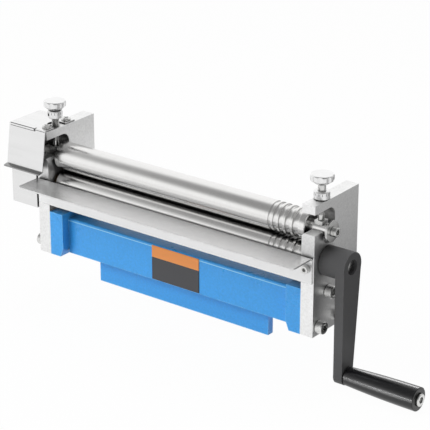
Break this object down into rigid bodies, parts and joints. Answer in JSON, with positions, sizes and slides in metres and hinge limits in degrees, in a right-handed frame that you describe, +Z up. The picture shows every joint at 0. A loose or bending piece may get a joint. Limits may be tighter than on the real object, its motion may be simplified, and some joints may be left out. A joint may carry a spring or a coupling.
{
  "type": "slip roll machine",
  "caption": "Vise-mounted slip roll for sheet metal: geared pinch rollers and a rear bending roller between end plates on a cast beam, with a feed shelf, gear guards and a crank.",
  "frame": {"origin": "middle of the front face of the tongue that a bench vise grips", "axes": "+Z up, +X along the rollers towards the crank, -Y towards the operator and the feed shelf"},
  "size_m": [0.5064, 0.1095, 0.2178],
  "materials": {
    "blue_casting": "textured gloss enamel",
    "machined_plate": "milled, fine matte",
    "bright_screw": "bright zinc plate",
    "polished_shelf": "bright rolled stainless",
    "guard_sheet": "smooth rolled stainless",
    "info_foil": "bare printed foil, satin",
    "bronze_bush": "turned bronze",
    "ground_roller": "ground and polished",
    "gear_steel": "cut, oiled",
    "dark_steel": "black oxide",
    "zinc_steel": "turned, zinc plated",
    "knob_chrome": "satin chrome",
    "black_casting": "matte black powder coat",
    "black_plastic": "high gloss"
  },
  "bodies": {
    "frame": {"base_casting": "blue_casting", "end_plate_left": "machined_plate", "end_plate_right": "machined_plate", "plate_bolts_left": "bright_screw", "plate_bolts_right": "bright_screw", "feed_shelf": "polished_shelf", "feed_shelf_screws": "bright_screw", "gear_cover": "guard_sheet", "gear_cover_screws": "bright_screw", "gear_box": "guard_sheet", "gear_box_screws": "bright_screw", "info_plate": "info_foil", "lower_bush_left": "bronze_bush", "lower_bush_right": "bronze_bush"},
    "lower_drive": {"lower_roller": "ground_roller", "lower_gear": "gear_steel", "lower_gear_key": "dark_steel", "lower_gear_washer": "zinc_steel", "lower_gear_screw": "bright_screw", "crank_arm": "black_casting", "crank_set_screw": "dark_steel", "grip_bolt": "bright_screw"},
    "grip": {"handle_grip": "black_plastic"},
    "upper_carriage": {"pressure_pad_left": "zinc_steel", "pressure_pad_right": "zinc_steel"},
    "upper_drive": {"upper_roller": "ground_roller", "upper_gear": "gear_steel", "upper_gear_key": "dark_steel", "upper_washers": "zinc_steel", "upper_end_screws": "bright_screw"},
    "right_screw": {"adjusting_screw_right": "zinc_steel"},
    "right_knob": {"knob_right": "knob_chrome"},
    "right_collar": {"lock_collar_right": "knob_chrome"},
    "left_screw": {"adjusting_screw_left": "zinc_steel"},
    "left_knob": {"knob_left": "knob_chrome"},
    "left_collar": {"lock_collar_left": "knob_chrome"},
    "rear_carriage": {"rear_block_left": "dark_steel", "rear_block_right": "dark_steel"},
    "rear_drive": {"rear_roller": "ground_roller"},
    "rear_grub_right": {"rear_screw_right": "dark_steel"},
    "rear_grub_left": {"rear_screw_left": "dark_steel"},
    "rear_locknut_right": {"rear_nut_right": "zinc_steel"},
    "rear_locknut_left": {"rear_nut_left": "zinc_steel"}
  },
  "joints": [
    {"name": "crank_turn", "type": "hinge", "parent": "frame", "child": "lower_drive", "pos_m": [0.17, 0.002, 0.087], "axis": [1, 0, 0], "continuous": true},
    {"name": "grip_spin", "type": "hinge", "parent": "lower_drive", "child": "grip", "pos_m": [0.25, -0.00201, -0.02793], "axis": [1, 0, 0], "continuous": true},
    {"name": "upper_roller_lift", "type": "slide", "parent": "frame", "child": "upper_carriage", "axis": [0, 0, 1], "range_m": [-0.0012, 0.0015]},
    {"name": "upper_roller_turn", "type": "hinge", "parent": "upper_carriage", "child": "upper_drive", "pos_m": [0, 0.002, 0.1185], "axis": [1, 0, 0], "continuous": true},
    {"name": "right_screw_travel", "type": "slide", "parent": "frame", "child": "right_screw", "axis": [0, 0, 1], "range_m": [-0.0012, 0.0015]},
    {"name": "right_knob_turn", "type": "hinge", "parent": "right_screw", "child": "right_knob", "pos_m": [0.17, 0.002, 0.17], "axis": [0, 0, 1], "range_deg": [-346, 433]},
    {"name": "left_screw_travel", "type": "slide", "parent": "frame", "child": "left_screw", "axis": [0, 0, 1], "range_m": [-0.0012, 0.0015]},
    {"name": "left_knob_turn", "type": "hinge", "parent": "left_screw", "child": "left_knob", "pos_m": [-0.17, 0.002, 0.172], "axis": [0, 0, 1], "range_deg": [-346, 433]},
    {"name": "right_collar_turn", "type": "hinge", "parent": "frame", "child": "right_collar", "pos_m": [0.17, 0.002, 0.153], "axis": [0, 0, 1], "range_deg": [0, 180]},
    {"name": "left_collar_turn", "type": "hinge", "parent": "left_screw", "child": "left_collar", "pos_m": [-0.17, 0.002, 0.163], "axis": [0, 0, 1], "range_deg": [-180, 0]},
    {"name": "rear_roller_lift", "type": "slide", "parent": "frame", "child": "rear_carriage", "axis": [0, 0, 1], "range_m": [-0.006, 0.008]},
    {"name": "rear_roller_turn", "type": "hinge", "parent": "rear_carriage", "child": "rear_drive", "pos_m": [0, 0.04, 0.089], "axis": [1, 0, 0], "continuous": true},
    {"name": "rear_right_screw_turn", "type": "hinge", "parent": "rear_carriage", "child": "rear_grub_right", "pos_m": [0.168, 0.04, 0.03], "axis": [0, 0, 1], "range_deg": [-1730, 2306]},
    {"name": "rear_left_screw_turn", "type": "hinge", "parent": "rear_carriage", "child": "rear_grub_left", "pos_m": [-0.168, 0.04, 0.03], "axis": [0, 0, 1], "range_deg": [-1730, 2306]},
    {"name": "rear_right_nut_turn", "type": "hinge", "parent": "frame", "child": "rear_locknut_right", "pos_m": [0.168, 0.04, 0.008], "axis": [0, 0, 1], "range_deg": [-180, 0]},
    {"name": "rear_left_nut_turn", "type": "hinge", "parent": "frame", "child": "rear_locknut_left", "pos_m": [-0.168, 0.04, 0.008], "axis": [0, 0, 1], "range_deg": [-180, 0]}
  ],
  "couplings": [
    {"joint": "upper_roller_turn", "follows": "crank_turn", "ratio": -1},
    {"joint": "right_screw_travel", "follows": "upper_roller_lift", "ratio": 1},
    {"joint": "left_screw_travel", "follows": "upper_roller_lift", "ratio": 1},
    {"joint": "right_knob_turn", "follows": "upper_roller_lift", "rad_per_m": 5026.5},
    {"joint": "left_knob_turn", "follows": "upper_roller_lift", "rad_per_m": 5026.5},
    {"joint": "rear_right_screw_turn", "follows": "rear_roller_lift", "rad_per_m": 5026.5},
    {"joint": "rear_left_screw_turn", "follows": "rear_roller_lift", "rad_per_m": 5026.5}
  ]
}
